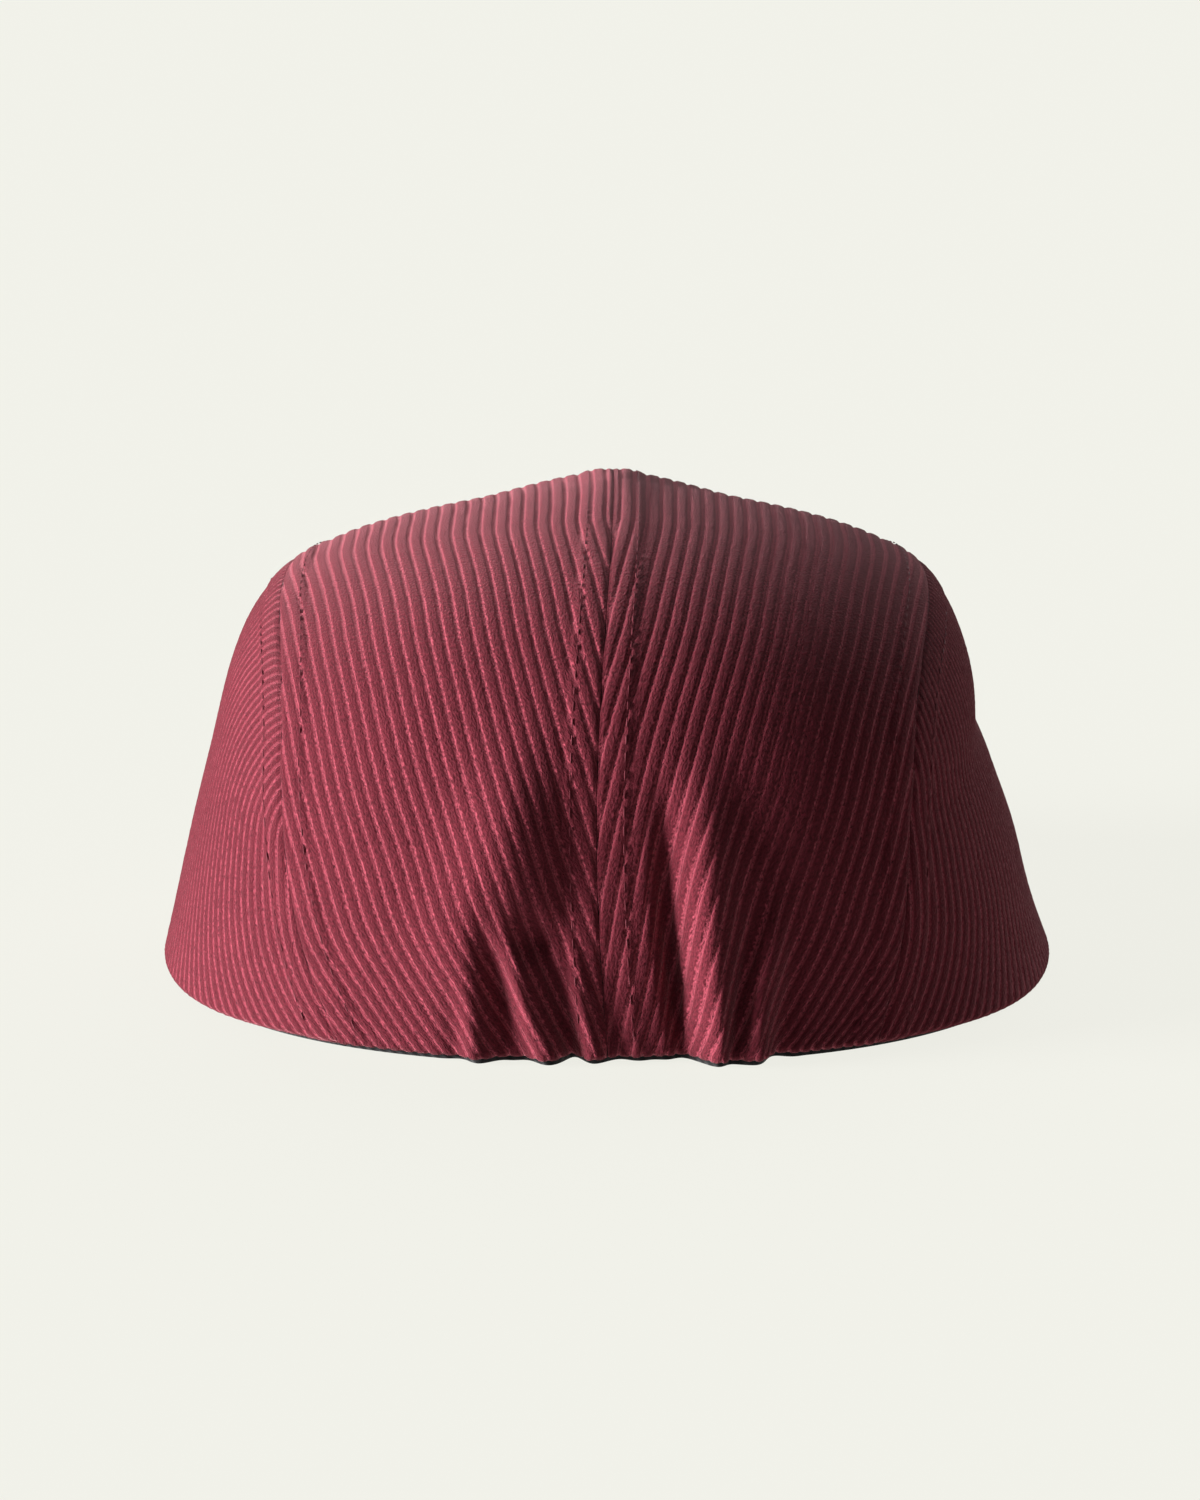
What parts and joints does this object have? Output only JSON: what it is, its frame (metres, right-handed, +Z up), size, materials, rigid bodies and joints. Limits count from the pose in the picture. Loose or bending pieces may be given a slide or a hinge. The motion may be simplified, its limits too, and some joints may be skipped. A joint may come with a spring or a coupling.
{
  "type": "five-panel cap",
  "caption": "Soft cap with a low rounded crown of sewn corduroy panels, a stiff curved peak and a back gathered by elastic",
  "frame": {"origin": "the centre of the head opening, in the plane of the hem, which is the plane that the cap rests on", "axes": "+Z up to the top of the crown, -Y forward along the peak, +Y to the gathered back, +X to the wearer's left"},
  "size_m": [0.178, 0.2605, 0.0923],
  "materials": {
    "corduroy": "wine-red cotton corduroy, 2.9 mm between wales, soft brushed pile",
    "band_twill": "black cotton twill tape, matte",
    "elastic_knit": "black ribbed elastic, matte"
  },
  "bodies": {
    "root": {"front_panel": "corduroy", "side_panel_left": "corduroy", "side_panel_right": "corduroy", "back_panel_left": "corduroy", "back_panel_right": "corduroy", "peak": "corduroy", "sweatband": "band_twill", "back_elastic": "elastic_knit"}
  },
  "joints": []
}
